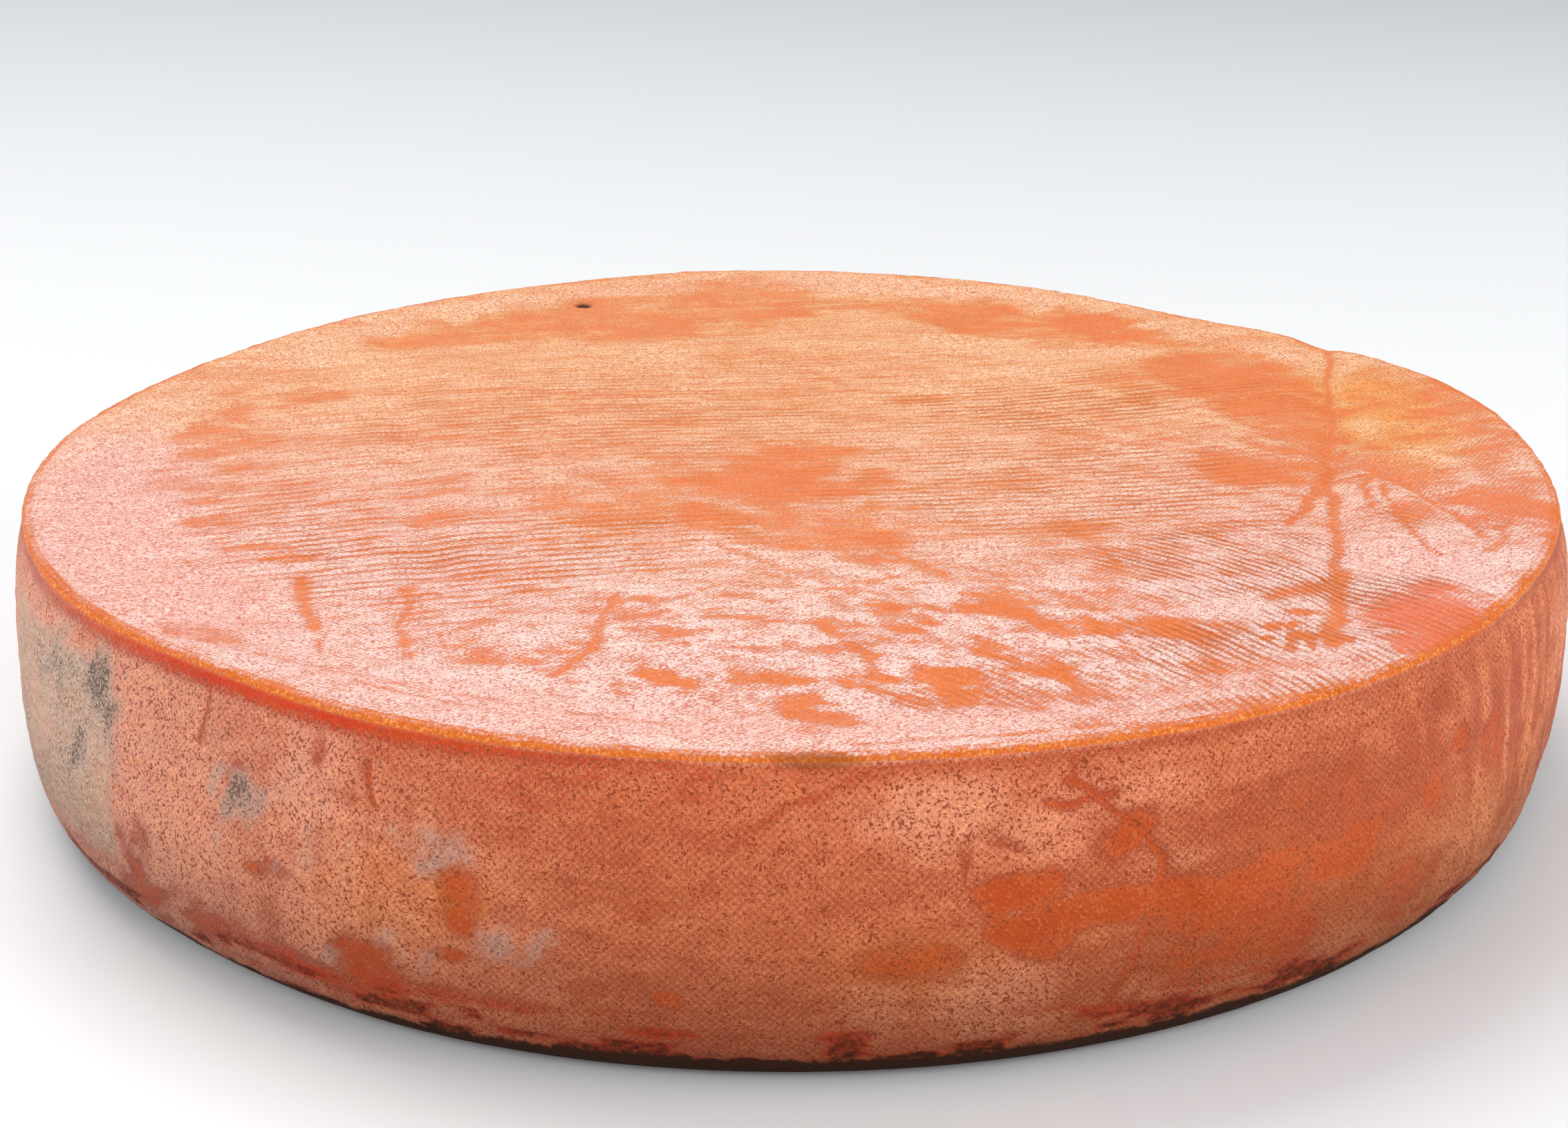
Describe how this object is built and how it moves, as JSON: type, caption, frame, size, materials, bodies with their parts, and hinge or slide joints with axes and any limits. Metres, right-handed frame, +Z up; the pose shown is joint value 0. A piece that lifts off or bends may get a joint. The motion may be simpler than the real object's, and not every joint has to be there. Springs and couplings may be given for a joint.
{
  "type": "tomme cheese wheel",
  "caption": "Whole uncut wheel of washed-rind tomme cheese: flat base, bulging side, worn rim bead and a slightly dished top with creases left by the press cloth.",
  "frame": {"origin": "middle of the wheel's extent in plan, on the surface that its base rests on", "axes": "+Z up through the wheel, from the base to the top face; +Y away from the side that the picture shows, +X to the right of that view"},
  "size_m": [0.3202, 0.3208, 0.059],
  "materials": {
    "rind": "soft satin orange rind under a whitish-pink powdery bloom, with the fine ribs of the press cloth"
  },
  "bodies": {
    "root": {"cheese_wheel": "rind"}
  },
  "joints": []
}
